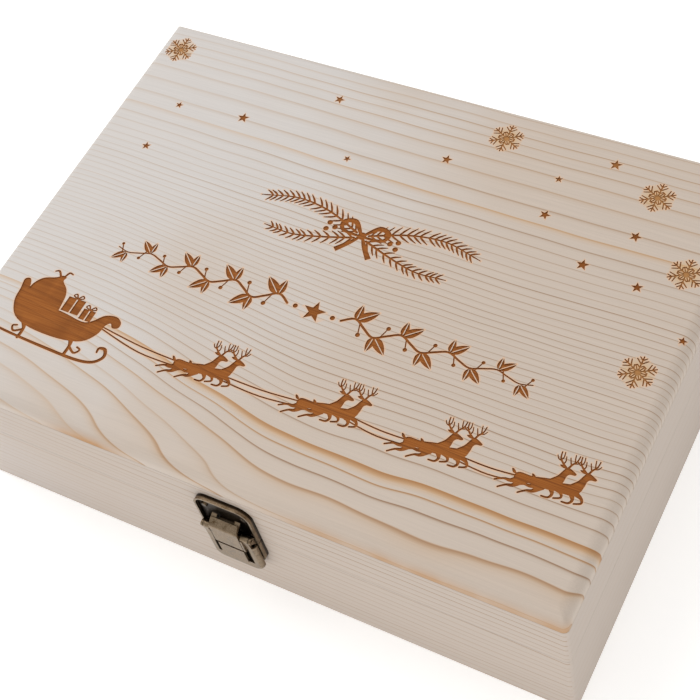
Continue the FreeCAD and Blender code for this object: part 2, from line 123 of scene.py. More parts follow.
def moved(shapes, to=(0, 0), scale=1.0, turn=0.0, flip=False):
    """Copies of the shapes, mirrored left to right where asked, then scaled, turned and moved."""
    spin = Matrix.Rotation(turn, 2)
    mirror = Vector((-1 if flip else 1, 1))
    return [[spin @ (point * mirror) * scale + Vector(to) for point in shape] for shape in shapes]


def both_sides(shapes):
    """The shapes and their mirror images."""
    return moved(shapes) + moved(shapes, flip=True)


# The motifs of the engraving

# A snowflake's measures, as shares of its radius; a branch has a height and a length
FLAKE_ARMS = 6
FLAKE_ARM_WIDTHS = (0.09, 0.07)
FLAKE_BRANCHES = ((0.3, 0.24), (0.52, 0.42), (0.76, 0.26))
FLAKE_BRANCH_WIDTHS = (0.085, 0.06)
FLAKE_BRANCH_LEAN = (0.72, 0.66)
FLAKE_SPOKE = (0.1, 0.42)
FLAKE_SPOKE_WIDTHS = (0.07, 0.07)
FLAKE_DOT_PLACE = 0.45
FLAKE_DOT = 0.065
FLAKE_HUB = 0.12


def snowflake(radius):
    """Arms with pairs of branches, and a spoke with a dot between each two arms."""
    arm_widths, branch_widths, spoke_widths = (
        [width * radius for width in widths]
        for widths in (FLAKE_ARM_WIDTHS, FLAKE_BRANCH_WIDTHS, FLAKE_SPOKE_WIDTHS))
    arm = stroke([(0, 0), (0, radius)], arm_widths, 1)
    lean_out, lean_up = FLAKE_BRANCH_LEAN
    for height, length in FLAKE_BRANCHES:
        for side in (-1, 1):
            tip = (side * length * radius * lean_out, (height + length * lean_up) * radius)
            arm += stroke([(0, height * radius), tip], branch_widths, 1)
    spoke = stroke([(0, height * radius) for height in FLAKE_SPOKE], spoke_widths, 1)
    dot = disc((0, FLAKE_DOT_PLACE * radius), FLAKE_DOT * radius)
    arm += moved(spoke + dot, turn=math.tau / FLAKE_ARMS / 2)
    turns = [number * math.tau / FLAKE_ARMS for number in range(FLAKE_ARMS)]
    hub = disc((0, 0), FLAKE_HUB * radius)
    return [shape for turn in turns for shape in moved(arm, turn=turn)] + hub


STAR_CORNERS = 10
STAR_INNER = 0.42


def star(radius, turn):
    """A star with points and notches in turn."""
    points = []
    for number in range(STAR_CORNERS):
        reach = radius if number % 2 == 0 else STAR_INNER * radius
        angle = turn + math.tau * number / STAR_CORNERS
        points.append(Vector((reach * math.sin(angle), reach * math.cos(angle))))
    return [points]


# A deer's shapes: outlines, legs with the widths of thigh and knee, and antlers, each a beam with its tines
DEER_BODY = [(-8.4, 2.7), (-3.2, 2.0), (2.4, 2.5), (6.4, 2.4), (7.9, 0.2), (6.2, -2.2), (1.0, -2.1),
             (-4.2, -1.4), (-7.6, -2.4), (-10.0, -0.8), (-10.2, 1.4)]
DEER_HEAD = [(3.0, 1.6), (6.0, 4.6), (7.6, 7.2), (8.6, 8.5), (10.0, 8.6), (12.2, 7.3), (13.0, 6.5),
             (12.4, 5.9), (10.6, 5.9), (9.5, 4.9), (8.9, 2.4), (7.4, -0.4)]
DEER_EAR = [(8.3, 8.2), (6.9, 8.4), (5.7, 9.4), (7.2, 9.5)]
DEER_TAIL = [(-9.6, 1.6), (-10.8, 3.4), (-11.9, 3.7), (-11.2, 2.0)]
DEER_LEGS = [([(-8.0, -0.4), (-11.2, -1.7), (-13.9, -1.5), (-17.4, -2.7)], 3.6, 1.7),
             ([(-7.0, -1.0), (-9.8, -3.6), (-12.4, -4.0), (-15.4, -5.6)], 3.4, 1.7),
             ([(6.0, -0.8), (8.9, -2.6), (9.4, -4.6), (6.7, -5.4)], 2.6, 1.3),
             ([(4.6, -1.0), (5.8, -3.8), (4.6, -5.6), (2.0, -5.5)], 2.6, 1.3)]
DEER_SHANK_WIDTHS = [0.95, 0.75]
DEER_BEAM_WIDTHS = [0.95, 0.75, 0.5]
DEER_TINE_WIDTHS = [0.65, 0.4]
DEER_ANTLERS = [([(8.6, 8.4), (6.8, 10.2), (5.4, 12.4), (5.3, 15.2)],
                 [[(7.0, 10.0), (7.6, 11.4), (7.4, 13.4)], [(5.8, 11.7), (6.5, 13.0), (6.5, 15.2)],
                  [(6.0, 11.3), (4.6, 11.9), (3.9, 13.4)]]),
                ([(9.3, 8.5), (10.4, 10.4), (11.9, 12.0), (12.6, 14.6)],
                 [[(10.1, 9.9), (9.6, 11.4), (9.1, 13.2)], [(11.3, 11.4), (11.0, 12.9), (10.9, 14.8)],
                  [(10.9, 11.0), (12.3, 11.2), (13.4, 12.5)]])]


def deer():
    """A leaping deer that faces +X, with the middle of its body at the origin."""
    shapes = blob(DEER_BODY) + blob(DEER_HEAD) + blob(DEER_EAR, 3) + blob(DEER_TAIL, 3)
    for points, thigh, knee in DEER_LEGS:
        shapes += stroke(points, [thigh, knee] + DEER_SHANK_WIDTHS)
    for beam, tines in DEER_ANTLERS:
        shapes += stroke(beam, DEER_BEAM_WIDTHS, 4)
        for tine in tines:
            shapes += stroke(tine, DEER_TINE_WIDTHS, 3)
    return shapes


SLEIGH_BODY = [(-27.5, 11.5), (-25.4, 12.6), (-23.6, 10.2), (-22.0, 5.2), (-17.0, 3.0), (-4.0, 3.4),
               (7.0, 2.2), (11.0, 4.0), (14.6, 8.0), (19.4, 9.2), (22.6, 7.4), (22.8, 4.8), (20.4, 4.0),
               (18.8, 5.6), (17.2, 3.8), (16.2, -1.0), (11.8, -6.0), (2.0, -8.2), (-12.0, -8.0),
               (-21.0, -5.2), (-25.6, 1.0), (-26.6, 7.0)]
SLEIGH_RUNNER = [(-29.0, -12.0), (-18.0, -13.0), (0.0, -13.8), (14.0, -14.0), (21.4, -12.6), (24.6, -9.0),
                 (23.4, -5.8), (20.8, -6.0), (20.8, -8.0)]
SLEIGH_RUNNER_WIDTHS = [0.9, 1.3, 1.3, 1.5, 0.8]

# Each post of the sleigh has the places of its foot and top, and how far its scroll reaches out
SLEIGH_POSTS = [(-14.0, -15.5, -3.4), (8.6, 7.6, 3.4)]
POST_TOP = -6.5
POST_MIDDLE = -9.4
POST_FOOT = -13.6
POST_WIDTHS = [2.4, 1.3, 1.5]
SCROLL_HEIGHTS = (-9.6, -11.6, -9.6, -8.8)
SCROLL_REACHES = (0.0, 1.0, 1.5, 1.0)
SCROLL_WIDTHS = [1.1, 0.9, 0.8]
SACK = [(-21.6, 0.0), (-23.2, 9.0), (-20.6, 14.4), (-15.4, 16.8), (-12.8, 18.6), (-11.0, 18.2),
        (-11.2, 16.2), (-7.6, 13.0), (-5.8, 8.0), (-6.6, 0.0)]
SACK_STRINGS = [[(-13.4, 17.6), (-15.6, 20.0), (-17.2, 19.4)], [(-12.0, 17.8), (-11.0, 20.6), (-9.2, 20.4)]]
SACK_STRING_WIDTHS = [0.9, 0.9, 0.6]
PARCELS = [(-4.6, 3.9, 8.2, 7.0), (4.6, 3.0, 5.6, 5.0)]
RIBBON_WIDTH = 0.55
RIBBON_LOOP = [(1.4, 1.9), (2.4, 1.0), (0.8, 0.2)]
RIBBON_LOOP_WIDTHS = [0.7, 0.6, 0.6]


def parcel(left, foot, width, height):
    """Two blocks with a bare ribbon between them, and a bow on top."""
    half = (width - RIBBON_WIDTH) / 2
    top = foot + height
    shapes = []
    for start in (left, left + half + RIBBON_WIDTH):
        end = start + half
        shapes.append([Vector(spot) for spot in ((start, foot), (end, foot), (end, top), (start, top))])
    knot = Vector((left + width / 2, top))
    for side in (-1, 1):
        loop = [knot] + [knot + Vector((side * x, y)) for x, y in RIBBON_LOOP]
        shapes += stroke(loop, RIBBON_LOOP_WIDTHS, 4)
    return shapes


def sleigh():
    """A sleigh that faces +X with a sack and parcels, its body's middle at the origin."""
    shapes = blob(SLEIGH_BODY, 4) + stroke(SLEIGH_RUNNER, SLEIGH_RUNNER_WIDTHS)
    for foot, top, lean in SLEIGH_POSTS:
        shapes += stroke([(top, POST_TOP), (foot, POST_MIDDLE), (foot, POST_FOOT)], POST_WIDTHS)
        scroll = [(foot + lean * reach, height) for reach, height in zip(SCROLL_REACHES, SCROLL_HEIGHTS)]
        shapes += stroke(scroll, SCROLL_WIDTHS, 4)
    shapes += blob(SACK, 4)
    for string in SACK_STRINGS:
        shapes += stroke(string, SACK_STRING_WIDTHS, 3)
    for sizes in PARCELS:
        shapes += parcel(*sizes)
    return shapes


NEEDLE_LEAN = (0.74, 0.68)
NEEDLE_BOW = 0.3
NEEDLE_WIDTHS = [0.75, 0.95, 0.35]
NEEDLE_END_WIDTHS = [0.75, 0.35]
SPRIG_STEM_WIDTHS = [1.1, 0.5]


def needle_sprig(stem, lengths, count):
    """A curved fir sprig: a stem with needles on both sides that point along it."""
    line = rounded_line(stem, False, 12)
    shapes = stroke(stem, SPRIG_STEM_WIDTHS, 8)
    for number in range(count):
        share = (number + 0.5) / count
        index = min(int(share * (len(line) - 1)), len(line) - 2)
        start = line[index]
        along = (line[index + 1] - start).normalized()
        length = lengths[0] + (lengths[1] - lengths[0]) * share
        for side in (-1, 1):
            tip = along * NEEDLE_LEAN[0] + Vector((-along.y, along.x)) * side * NEEDLE_LEAN[1]
            middle = start + tip * length * 0.5 - along * NEEDLE_BOW
            shapes += stroke([start, middle, start + tip * length], NEEDLE_WIDTHS, 3)
    end = line[-1]
    shapes += stroke([end, end + (end - line[-2]).normalized() * lengths[1]], NEEDLE_END_WIDTHS, 1)
    return shapes


def leaf(length, width):
    """A pointed leaf along +X with a bare midrib."""
    upper = [(0.0, 0.25), (length * 0.3, width / 2), (length * 0.68, width * 0.4), (length, 0.2)]
    lower = [(length * 0.94, 0.2), (length * 0.05, 0.22)]
    half = rounded_line(upper, False, 4) + [Vector(spot) for spot in lower]
    return [half[::-1], [Vector((spot.x, -spot.y)) for spot in half]]


BOW_KNOT = 2.0
BOW_LOOP = [(0.6, 0.4), (6.0, 6.2), (11.0, 4.6), (9.4, 0.4), (0.8, -0.5)]
BOW_LOOP_WIDTHS = [1.2, 2.6, 2.2, 1.8, 1.0]
BOW_TAIL = [(0.8, -0.8), (3.6, -5.0), (8.2, -10.4)]
BOW_TAIL_WIDTHS = [1.2, 2.0, 2.6]


def bow():
    shapes = disc((0, 0), BOW_KNOT)
    for side in (-1, 1):
        shapes += stroke([(x * side, y) for x, y in BOW_LOOP], BOW_LOOP_WIDTHS, 6)
        shapes += stroke([(x * side, y) for x, y in BOW_TAIL], BOW_TAIL_WIDTHS, 6, False)
    return shapes


# Each sprig has its stem, the lengths of its first and last needles and the count of their pairs
SPRIGS = [([(3.0, 1.0), (20.0, 7.5), (36.0, 9.5), (50.0, 6.5)], (6.6, 4.0), 17),
          ([(3.0, -2.0), (17.0, -6.5), (30.0, -9.5), (41.0, -9.0)], (5.4, 3.4), 13)]
SPRIG_MIDDLE = (0.0, 21.0)
SPRIG_BERRIES = [(13.5, 0.3), (17.0, -1.6), (16.8, 2.0)]
SPRIG_BERRY = 1.25


def sprig_ornament():
    """Two pairs of fir sprigs with berries under a bow."""
    side = []
    for sprig in SPRIGS:
        side += needle_sprig(*sprig)
    for spot in SPRIG_BERRIES:
        side += disc(spot, SPRIG_BERRY)
    return moved(bow() + both_sides(side), SPRIG_MIDDLE)


VINE_MIDDLE = (-1.0, -22.0)
VINE_START = 13.0
VINE_END = 100.0
VINE_WAVE = 3.2
VINE_LEAVES = 8
VINE_PITCH = (VINE_END - VINE_START) / VINE_LEAVES
VINE_STEM_WIDTHS = [1.1, 1.0, 0.5]
VINE_LEAF_PAIR = [(10.6, 4.6, 0.72), (8.0, 3.6, 1.62)]
VINE_STEM_SHRINK = 0.04
VINE_LEAF_SHRINK = 0.045
VINE_BERRY = 1.05
VINE_STALK_WIDTHS = [0.6, 0.5]
VINE_STAR = 5.4
VINE_DOT = 1.1
VINE_DOT_PLACE = 9.0


def vine_side():
    """The right half of the vine, which grows finer to its end; a leaf has a length, a width and a turn."""
    stem = []
    for number in range(2 * VINE_LEAVES + 1):
        height = VINE_WAVE * math.sin(math.pi * number / 2) * (1 - VINE_STEM_SHRINK * number)
        stem.append((VINE_START + VINE_PITCH * number / 2, height))
    shapes = stroke(stem, VINE_STEM_WIDTHS, 4)
    for number in range(VINE_LEAVES):
        up = 1 if number % 2 == 0 else -1
        shrink = 1 - VINE_LEAF_SHRINK * number
        root = (VINE_START + VINE_PITCH * (number + 0.55), up * VINE_WAVE * 0.75 * shrink)
        for length, width, turn in VINE_LEAF_PAIR:
            shapes += moved(leaf(length * shrink, width * shrink), root, turn=up * turn)
        berry = (root[0] + VINE_PITCH * 0.36, -up * (5.2 * shrink - 1.4))
        stalk = (root[0] + VINE_PITCH * 0.2, up * VINE_WAVE * 0.7 * shrink)
        shapes += disc(berry, VINE_BERRY * shrink) + stroke([stalk, berry], VINE_STALK_WIDTHS, 1)
    return shapes


def vine_ornament():
    """A waving vine with leaves and berries to both sides of a star."""
    shapes = star(VINE_STAR, 0.0)
    for place in (-VINE_DOT_PLACE, VINE_DOT_PLACE):
        shapes += disc((place, 0.0), VINE_DOT)
    return moved(shapes + both_sides(vine_side()), VINE_MIDDLE)


SNOWFLAKE_RADIUS = 7.7
SNOWFLAKES = [(-137.5, 93.0), (36.5, 92.5), (110.5, 83.0), (135.5, 49.5), (134.5, -1.5)]
STARS = [(-119, 61, 1.9), (-121, 33.5, 2.2), (-85, 64, 2.9), (-46.5, 89, 2.5), (-26.5, 58, 1.8),
         (16.5, 72.5, 2.6), (67.5, 78.5, 1.9), (87.5, 94, 2.9), (69.5, 58.5, 2.6), (109.5, 60.5, 2.7),
         (94.5, 39.5, 2.9), (119.5, 36.5, 2.6), (145.5, 18.5, 2.0)]
STAR_TILT = 0.25
STAR_TILT_STEP = 5.0
SLEIGH_MIDDLE = (-102.5, -65.5)
SLEIGH_SCALE = 1.1
TEAMS = [(-31.0, -65.0), (27.5, -62.5), (76.0, -62.5), (122.5, -60.5)]
TEAM_OFFSET = Vector((8.0, 0.6))
TEAM_TILT = 0.15
DEER_SCALE = 0.98
REIN_WIDTH = 0.65
REIN_DROPS = [(0.0, 0.9), (-2.2, 1.6)]
REIN_AT_CHEST = (8.0, 0.8)
REIN_AT_RUMP = (-9.0, -0.4)
SLEIGH_HOOK = (-85.0, -62.0)
SLEIGH_SPREAD = 0.4


def reins():
    """Two lines from the sleigh along all the teams, closer to each other at the sleigh."""
    chests, rumps = ([(x + dx, y + dy) for x, y in TEAMS] for dx, dy in (REIN_AT_CHEST, REIN_AT_RUMP))
    starts = [(SLEIGH_HOOK, SLEIGH_SPREAD)] + [(chest, 1.0) for chest in chests[:-1]]
    shapes = []
    for drop, sag in REIN_DROPS:
        for (start, spread), end in zip(starts, rumps):
            middle = ((start[0] + end[0]) / 2, (start[1] + end[1]) / 2 + drop - sag)
            line = [(start[0], start[1] + drop * spread), middle, (end[0], end[1] + drop)]
            shapes += stroke(line, [REIN_WIDTH] * 3, 6)
    return shapes


def engraving():
    shapes = []
    for place in SNOWFLAKES:
        shapes += moved(snowflake(SNOWFLAKE_RADIUS), place)
    for number, (x, y, radius) in enumerate(STARS):
        shapes += moved(star(radius, STAR_TILT * math.sin(STAR_TILT_STEP * number)), (x, y))
    shapes += moved(sleigh(), SLEIGH_MIDDLE, SLEIGH_SCALE)
    for team in TEAMS:
        for place in (Vector(team) - TEAM_OFFSET / 2, Vector(team) + TEAM_OFFSET / 2):
            shapes += moved(deer(), place, DEER_SCALE, TEAM_TILT)
    return shapes + reins() + sprig_ornament() + vine_ornament()


# The engraved lid panel

def edge_distance(x, y):
    """How far inside the panel's outline a place lies."""
    across = Vector((abs(x) - PANEL_HALF[0] + CORNER_ROUND, abs(y) - PANEL_HALF[1] + CORNER_ROUND))
    outside = Vector((max(across.x, 0), max(across.y, 0))).length
    return CORNER_ROUND - outside - min(max(across.x, across.y), 0)


def panel_height(x, y):
    drop = PANEL_ROUND - min(max(edge_distance(x, y), 0), PANEL_ROUND)
    return PANEL_TOP - PANEL_ROUND + math.sqrt(PANEL_ROUND ** 2 - drop ** 2)


def outline_ring(inset):
    """The panel's outline, drawn in by the inset and cut into short steps."""
    radius = max(CORNER_ROUND - inset, CORNER_LEAST)
    reach = Vector(PANEL_HALF) - Vector((inset + radius, inset + radius))
    corners = []
    for quarter, (sx, sy) in enumerate(((1, 1), (-1, 1), (-1, -1), (1, -1))):
        for step in range(CORNER_STEPS + 1):
            turn = (quarter + step / CORNER_STEPS) * math.pi / 2
            arc = radius * Vector((math.cos(turn), math.sin(turn)))
            corners.append(Vector((sx * reach.x, sy * reach.y)) + arc)
    ring = []
    for spot, after in zip(corners, corners[1:] + corners[:1]):
        pieces = max(1, round((after - spot).length / OUTLINE_STEP))
        ring += [spot.lerp(after, piece / pieces) for piece in range(pieces)]
    return ring


def ccw(shape):
    """The shape with its points in counter-clockwise order."""
    area = sum(a.x * b.y - b.x * a.y for a, b in zip(shape, shape[1:] + shape[:1]))
    return shape if area > 0 else shape[::-1]


def scorch_ring(shape):
    """Places just outside a shape, where the scorched wood ends."""
    ring = []
    for before, spot, after in zip(shape[-1:] + shape[:-1], shape, shape[1:] + shape[:1]):
        along = after - before
        if along.length > 0:
            ring.append(spot + Vector((along.y, -along.x)).normalized() * SCORCH_REACH)
    return ring


def winds_round(shape, spot):
    """Whether the shape's outline goes round the spot."""
    turns = 0
    for a, b in zip(shape, shape[1:] + shape[:1]):
        side = (b.x - a.x) * (spot.y - a.y) - (spot.x - a.x) * (b.y - a.y)
        if a.y <= spot.y < b.y and side > 0:
            turns += 1
        elif b.y <= spot.y < a.y and side < 0:
            turns -= 1
    return turns != 0


def inside_test(shapes):
    """A test for whether a spot lies in any of the shapes, which are sorted into cells to be quick."""
    cells = {}
    for shape in shapes:
        low = [math.floor(min(spot[axis] for spot in shape) / SEARCH_CELL) for axis in (X_AXIS, Y_AXIS)]
        high = [math.floor(max(spot[axis] for spot in shape) / SEARCH_CELL) for axis in (X_AXIS, Y_AXIS)]
        for column in range(low[0], high[0] + 1):
            for row in range(low[1], high[1] + 1):
                cells.setdefault((column, row), []).append(shape)

    def test(spot):
        cell = (math.floor(spot.x / SEARCH_CELL), math.floor(spot.y / SEARCH_CELL))
        return any(winds_round(shape, spot) for shape in cells.get(cell, []))

    return test


def flake_glow(spot):
    """How golden a lightly burnt place is: most in the middle of a snowflake."""
    nearest = min((spot.xy - Vector(place)).length for place in SNOWFLAKES)
    return max(0.0, 1 - (nearest / SNOWFLAKE_RADIUS) ** 2)


def panel_plan(shapes):
    """The panel from above, in triangles along its rounded edge, the shapes and the ends of the scorch."""
    spots, edges = [], []

    def add(points):
        """Add the points and give the edges of the ring through them."""
        first = len(spots)
        spots.extend(points)
        ring = list(range(first, len(spots)))
        return list(zip(ring, ring[1:] + ring[:1]))

    for step in range(ROUND_STEPS + 1):
        edges += add(outline_ring(PANEL_ROUND * (1 - math.sin(math.pi / 2 * (1 - step / ROUND_STEPS)))))
    for shape in shapes:
        edges += add(shape)
    for shape in shapes:
        add(spot for spot in scorch_ring(ccw(shape)) if edge_distance(*spot) > SCORCH_EDGE_GAP)
    flat, _, triangles, _, _, _ = delaunay_2d_cdt(spots, edges, [], 0, MERGE_DISTANCE, False)
    return flat, triangles


class Panel:
    """The panel's points and polygons, with the burnt ones marked and the rims of the engraving noted."""

    def __init__(self, shapes):
        flat, triangles = panel_plan(shapes)
        self.points = [Vector((spot.x, spot.y, panel_height(*spot))) for spot in flat]
        self.polygons, self.burnt = [], []
        self.sunk = {}
        self.rim = set()
        outer_edges = self.engrave(flat, triangles, inside_test(shapes))
        self.close_below(outer_edges)

    def add(self, polygon, burnt):
        self.polygons.append(polygon)
        self.burnt.append(burnt)

    def floor_of(self, index):
        """The point below a point of the top, on the engraving's floor."""
        if index not in self.sunk:
            self.sunk[index] = len(self.points)
            self.points.append(self.points[index] - Vector((0, 0, ENGRAVING_DEPTH)))
        return self.sunk[index]

    def engrave(self, flat, triangles, is_inside):
        """Add the top with the shapes sunk into it, and give each outline point's follower."""
        inside_edges, all_edges = set(), set()
        for triangle in triangles:
            sides = list(zip(triangle, triangle[1:] + triangle[:1]))
            all_edges.update(sides)
            inside = is_inside(sum((flat[index] for index in triangle), Vector((0, 0))) / 3)
            if inside:
                inside_edges.update(sides)
                triangle = [self.floor_of(index) for index in triangle]
            self.add(list(triangle), inside)
        for a, b in inside_edges:
            if (b, a) not in inside_edges:
                self.add([a, b, self.floor_of(b), self.floor_of(a)], True)
                self.rim.update((a, b, self.sunk[a], self.sunk[b]))
        return {a: b for a, b in all_edges if (b, a) not in all_edges}

    def close_below(self, following):
        """Add the upright sides, an eased lower edge and the underside."""
        loop = [next(iter(following))]
        while following[loop[-1]] != loop[0]:
            loop.append(following[loop[-1]])
        upper = loop
        for height, inset in ((PANEL_FLOOR + JOINT_EASE, 0.0), (PANEL_FLOOR, JOINT_EASE)):
            shrink = 1 - inset / min(PANEL_HALF)
            lower = list(range(len(self.points), len(self.points) + len(loop)))
            self.points += [Vector((self.points[index].x * shrink, self.points[index].y * shrink, height))
                            for index in loop]
            for n, index in enumerate(upper):
                after = (n + 1) % len(upper)
                self.add([lower[n], lower[after], upper[after], index], False)
            upper = lower
        self.add(upper[::-1], False)

    def mesh(self):
        """The mesh, with the share of scorch and of glow at each point."""
        used = sorted({index for polygon in self.polygons for index in polygon})
        number_of = {index: number for number, index in enumerate(used)}
        mesh = bpy.data.meshes.new("engraved_top_panel")
        mesh.from_pydata([self.points[index] * MM for index in used], [],
                         [[number_of[index] for index in polygon] for polygon in self.polygons])
        shares = {"scorch": [1.0 if index in self.rim else 0.0 for index in used],
                  "glow": [flake_glow(self.points[index]) for index in used]}
        for name, values in shares.items():
            mesh.attributes.new(name, "FLOAT", "POINT").data.foreach_set("value", values)
        mesh.polygons.foreach_set("material_index", [1 if dark else 0 for dark in self.burnt])
        return mesh


def new_piece(name, mesh, body, slot, *replaced):
    piece = bpy.data.objects.new(name, mesh)
    bpy.context.scene.collection.objects.link(piece)
    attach(piece, body)
    if replaced:
        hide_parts(*replaced)
    return piece


def smooth(mesh, angle):
    mesh.polygons.foreach_set("use_smooth", [True] * len(mesh.polygons))
    mesh.set_sharp_from_angle(angle=angle)


# Materials

def srgb(red, green, blue):
    """A colour given in the usual 0 to 255 steps."""
    shares = (value / 255 for value in (red, green, blue))
    return tuple(s / 12.92 if s <= 0.04045 else ((s + 0.055) / 1.055) ** 2.4 for s in shares) + (1.0,)


class Graph:
    """A material's nodes, with short ways to add and join them."""

    def __init__(self, name):
        self.material = bpy.data.materials.new(name)
        self.material.use_nodes = True
        self.tree = self.material.node_tree
        self.shader = self.tree.nodes["Principled BSDF"]

    def put(self, socket, value):
        if isinstance(value, bpy.types.NodeSocket):
            self.tree.links.new(value, socket)
        else:
            socket.default_value = value

    def surface(self, values):
        """Set the shader's own sockets by name."""
        for name, value in values.items():
            self.put(self.shader.inputs[name], value)

    def node(self, kind, output=0, inputs=(), **settings):
        made = self.tree.nodes.new(kind)
        for name, value in settings.items():
            setattr(made, name, value)
        for key, value in dict(inputs).items():
            self.put(made.inputs[key], value)
        return made.outputs[output]

    def math(self, operation, *values):
        return self.node("ShaderNodeMath", inputs=enumerate(values), operation=operation)

    def times(self, first, *others):
        for other in others:
            first = self.math("MULTIPLY", first, other)
        return first

    def plus(self, first, *others):
        for other in others:
            first = self.math("ADD", first, other)
        return first

    def minus(self, first, second):
        return self.math("SUBTRACT", first, second)

    def ramp(self, value, low, high, to_low=0.0, to_high=1.0, kind="SMOOTHSTEP"):
        return self.node("ShaderNodeMapRange", inputs={0: value, 1: low, 2: high, 3: to_low, 4: to_high},
                         interpolation_type=kind)

    def line(self, value, low, high, to_low=0.0, to_high=1.0):
        return self.ramp(value, low, high, to_low, to_high, "LINEAR")

    def mix(self, share, first, second, blend="MIX"):
        made = self.tree.nodes.new("ShaderNodeMix")
        made.data_type = "RGBA"
        made.blend_type = blend
        for key, value in ((0, share), (6, first), (7, second)):
            self.put(made.inputs[key], value)
        return made.outputs[2]

    def noise(self, vector, scale, detail=2.0, roughness=0.5):
        return self.node("ShaderNodeTexNoise", inputs={"Vector": vector, "Scale": scale, "Detail": detail,
                                                       "Roughness": roughness})

    def vector(self, x, y, z):
        return self.node("ShaderNodeCombineXYZ", inputs=enumerate((x, y, z)))

    def attribute(self, name):
        return self.node("ShaderNodeAttribute", "Fac", attribute_name=name)

    def places(self):
        """The three places of a point in the part's own frame, in millimetres."""
        coordinates = self.node("ShaderNodeTexCoord", "Object")
        split = self.node("ShaderNodeSeparateXYZ", inputs={0: coordinates}).node
        return [self.times(output, 1 / MM) for output in split.outputs]

    def curve(self, value, points):
        made = self.tree.nodes.new("ShaderNodeFloatCurve")
        line = made.mapping.curves[0]
        line.points[0].location = points[0]
        line.points[1].location = points[-1]
        for point in points[1:-1]:
            line.points.new(*point)
        for point in line.points:
            point.handle_type = "AUTO_CLAMPED"
        made.mapping.update()
        self.put(made.inputs["Value"], value)
        return made.outputs[0]

    def bump(self, height, distance, strength):
        """Raise the surface by the height, whose full size is the distance in millimetres."""
        inputs = {"Height": height, "Distance": distance * MM, "Strength": strength}
        self.surface({"Normal": self.node("ShaderNodeBump", inputs=inputs)})


EARLYWOOD = srgb(205, 199, 194)
EARLYWOOD_WARM = srgb(198, 183, 169)
BOARD = srgb(195, 184, 176)
BOARD_WARM = srgb(192, 178, 166)
GOLD = srgb(199, 165, 128)
LATEWOOD = srgb(164, 114, 66)
UMBER_PALE = srgb(187, 167, 148)
UMBER = srgb(148, 115, 88)
STREAK = srgb(178, 131, 80)
PEACH = srgb(222, 176, 136)
BURNT = srgb(137, 76, 27)
BURNT_PALE = srgb(161, 97, 41)
BURNT_DARK = srgb(95, 49, 16)
FLAKE_GOLD = srgb(203, 164, 112)
FLAKE_BROWN = srgb(178, 132, 82)

# The panel's growth rings against the distance from the pith, which lies before its front edge: how many
# there are, how strongly they show and how broad their dark part is. They are wide in front, narrow in the
# middle and wider again behind.
RING_SPAN = 250.0
RING_COUNT = 58.0
RING_PLACES = [(0, 0), (22, 2), (29, 3), (38, 4), (42.5, 5), (48, 6), (51.7, 7), (54.8, 8), (58, 9),
               (63.5, 10.2), (72, 13), (145, 40), (164, 44.3), (198, 48.7), (217, 52.5), (250, 58)]
RING_CONTRAST = [(0, 0.85), (45, 0.9), (58, 1.0), (72, 0.95), (145, 0.9), (164, 0.75), (175, 0.75),
                 (250, 0.65)]
RING_BREADTH = [(0, 0.6), (38, 0.6), (43, 0.5), (45.5, 0.65), (49, 0.45), (53.5, 0.2), (55.5, 1.0), (58, 1.0),
                (60, 0.2), (72, 0.22), (150, 0.22), (163, 0.2), (165.5, 0.75), (169.5, 0.75), (172, 0.4),
                (187, 0.5), (250, 0.4)]
PITH_PLACE = -112.0
PITH_DEPTH = 8.0
PITH_RISE = 0.8
TAPER = 40.0
TAPER_REACH = 65.0
TAPER_END = 0.2
WAVE_LENGTH = 55
WAVE_BREADTH = 40
WAVE_SIZES = (40.0, 90.0, 4.0, 2.4)
PANEL_FADE = (0.4, 0.5, 1.15)

# Each ring ends in a thin line; the power of its rise makes the dark part narrow or broad
LINE_TAIL = 0.07
RISE_POWERS = (13.0, 1.6)
CHANCE_BREADTH = 0.5
CHANCE_STRENGTH = 0.6

# The straight rings of the boards
BOARD_DRIFT_LENGTH = 160
BOARD_DRIFT_BREADTH = 18
BOARD_DRIFT = 9.0
BOARD_TILT = 0.35
BOARD_FADE = (0.6, 0.65)
BOARD_BREADTH = 0.35
BOARD_FIRST_RING = 60.0
BOARD_SEED_STEP = 7.3

# The pale wood: fine streaks along it, and clouds that warm it to the right and to the front. A range holds
# the two ends of a value, and where it has four numbers, also what the value becomes there.
FIBRE_BREADTH = 0.55
FIBRE_LENGTH = 38
FIBRE_DETAIL = (3.0, 0.6)
FIBRE_SHADES = (0.3, 0.75, 0.94, 1.03)
CLOUD_SIZE = 70
CLOUD_SHARES = (0.25, 0.75)
WARM_TO_RIGHT = 400
WARM_TO_FRONT = 900
WARM_RANGE = (0.2, 0.6)
GLOW_RANGE = (0.0, 0.6)
LINE_RANGE = (0.35, 1.0)
GOLDEN_BREADTHS = (0.3, 0.9)
WOOD_ROUGHNESS = (0.3, 0.7, 0.52, 0.66)
WOOD_SPECULAR = 0.32
FIBRE_RELIEF = 0.6
LINE_RELIEF = 0.5
WOOD_BUMP = (0.12, 0.5)

# The engraving: shares of its halo, glow and dark parts, and how it pales to the back
HALO_POWER = 1.4
HALO_SHARE = 0.75
GLOW_SHARE = 0.8
BURNT_RANGE = (0.3, 0.7)
BURNT_RING_SHARE = 0.7
BURNT_RIM_SHARE = 0.3
BURNT_GLOW_SHARE = 0.75
BURNT_FAR = (45.0, PANEL_HALF[1], 0.0, 0.35)
BURNT_ROUGHNESS = 0.8
BURNT_SPECULAR = 0.2
BURNT_BUMP = (0.2, 0.6)

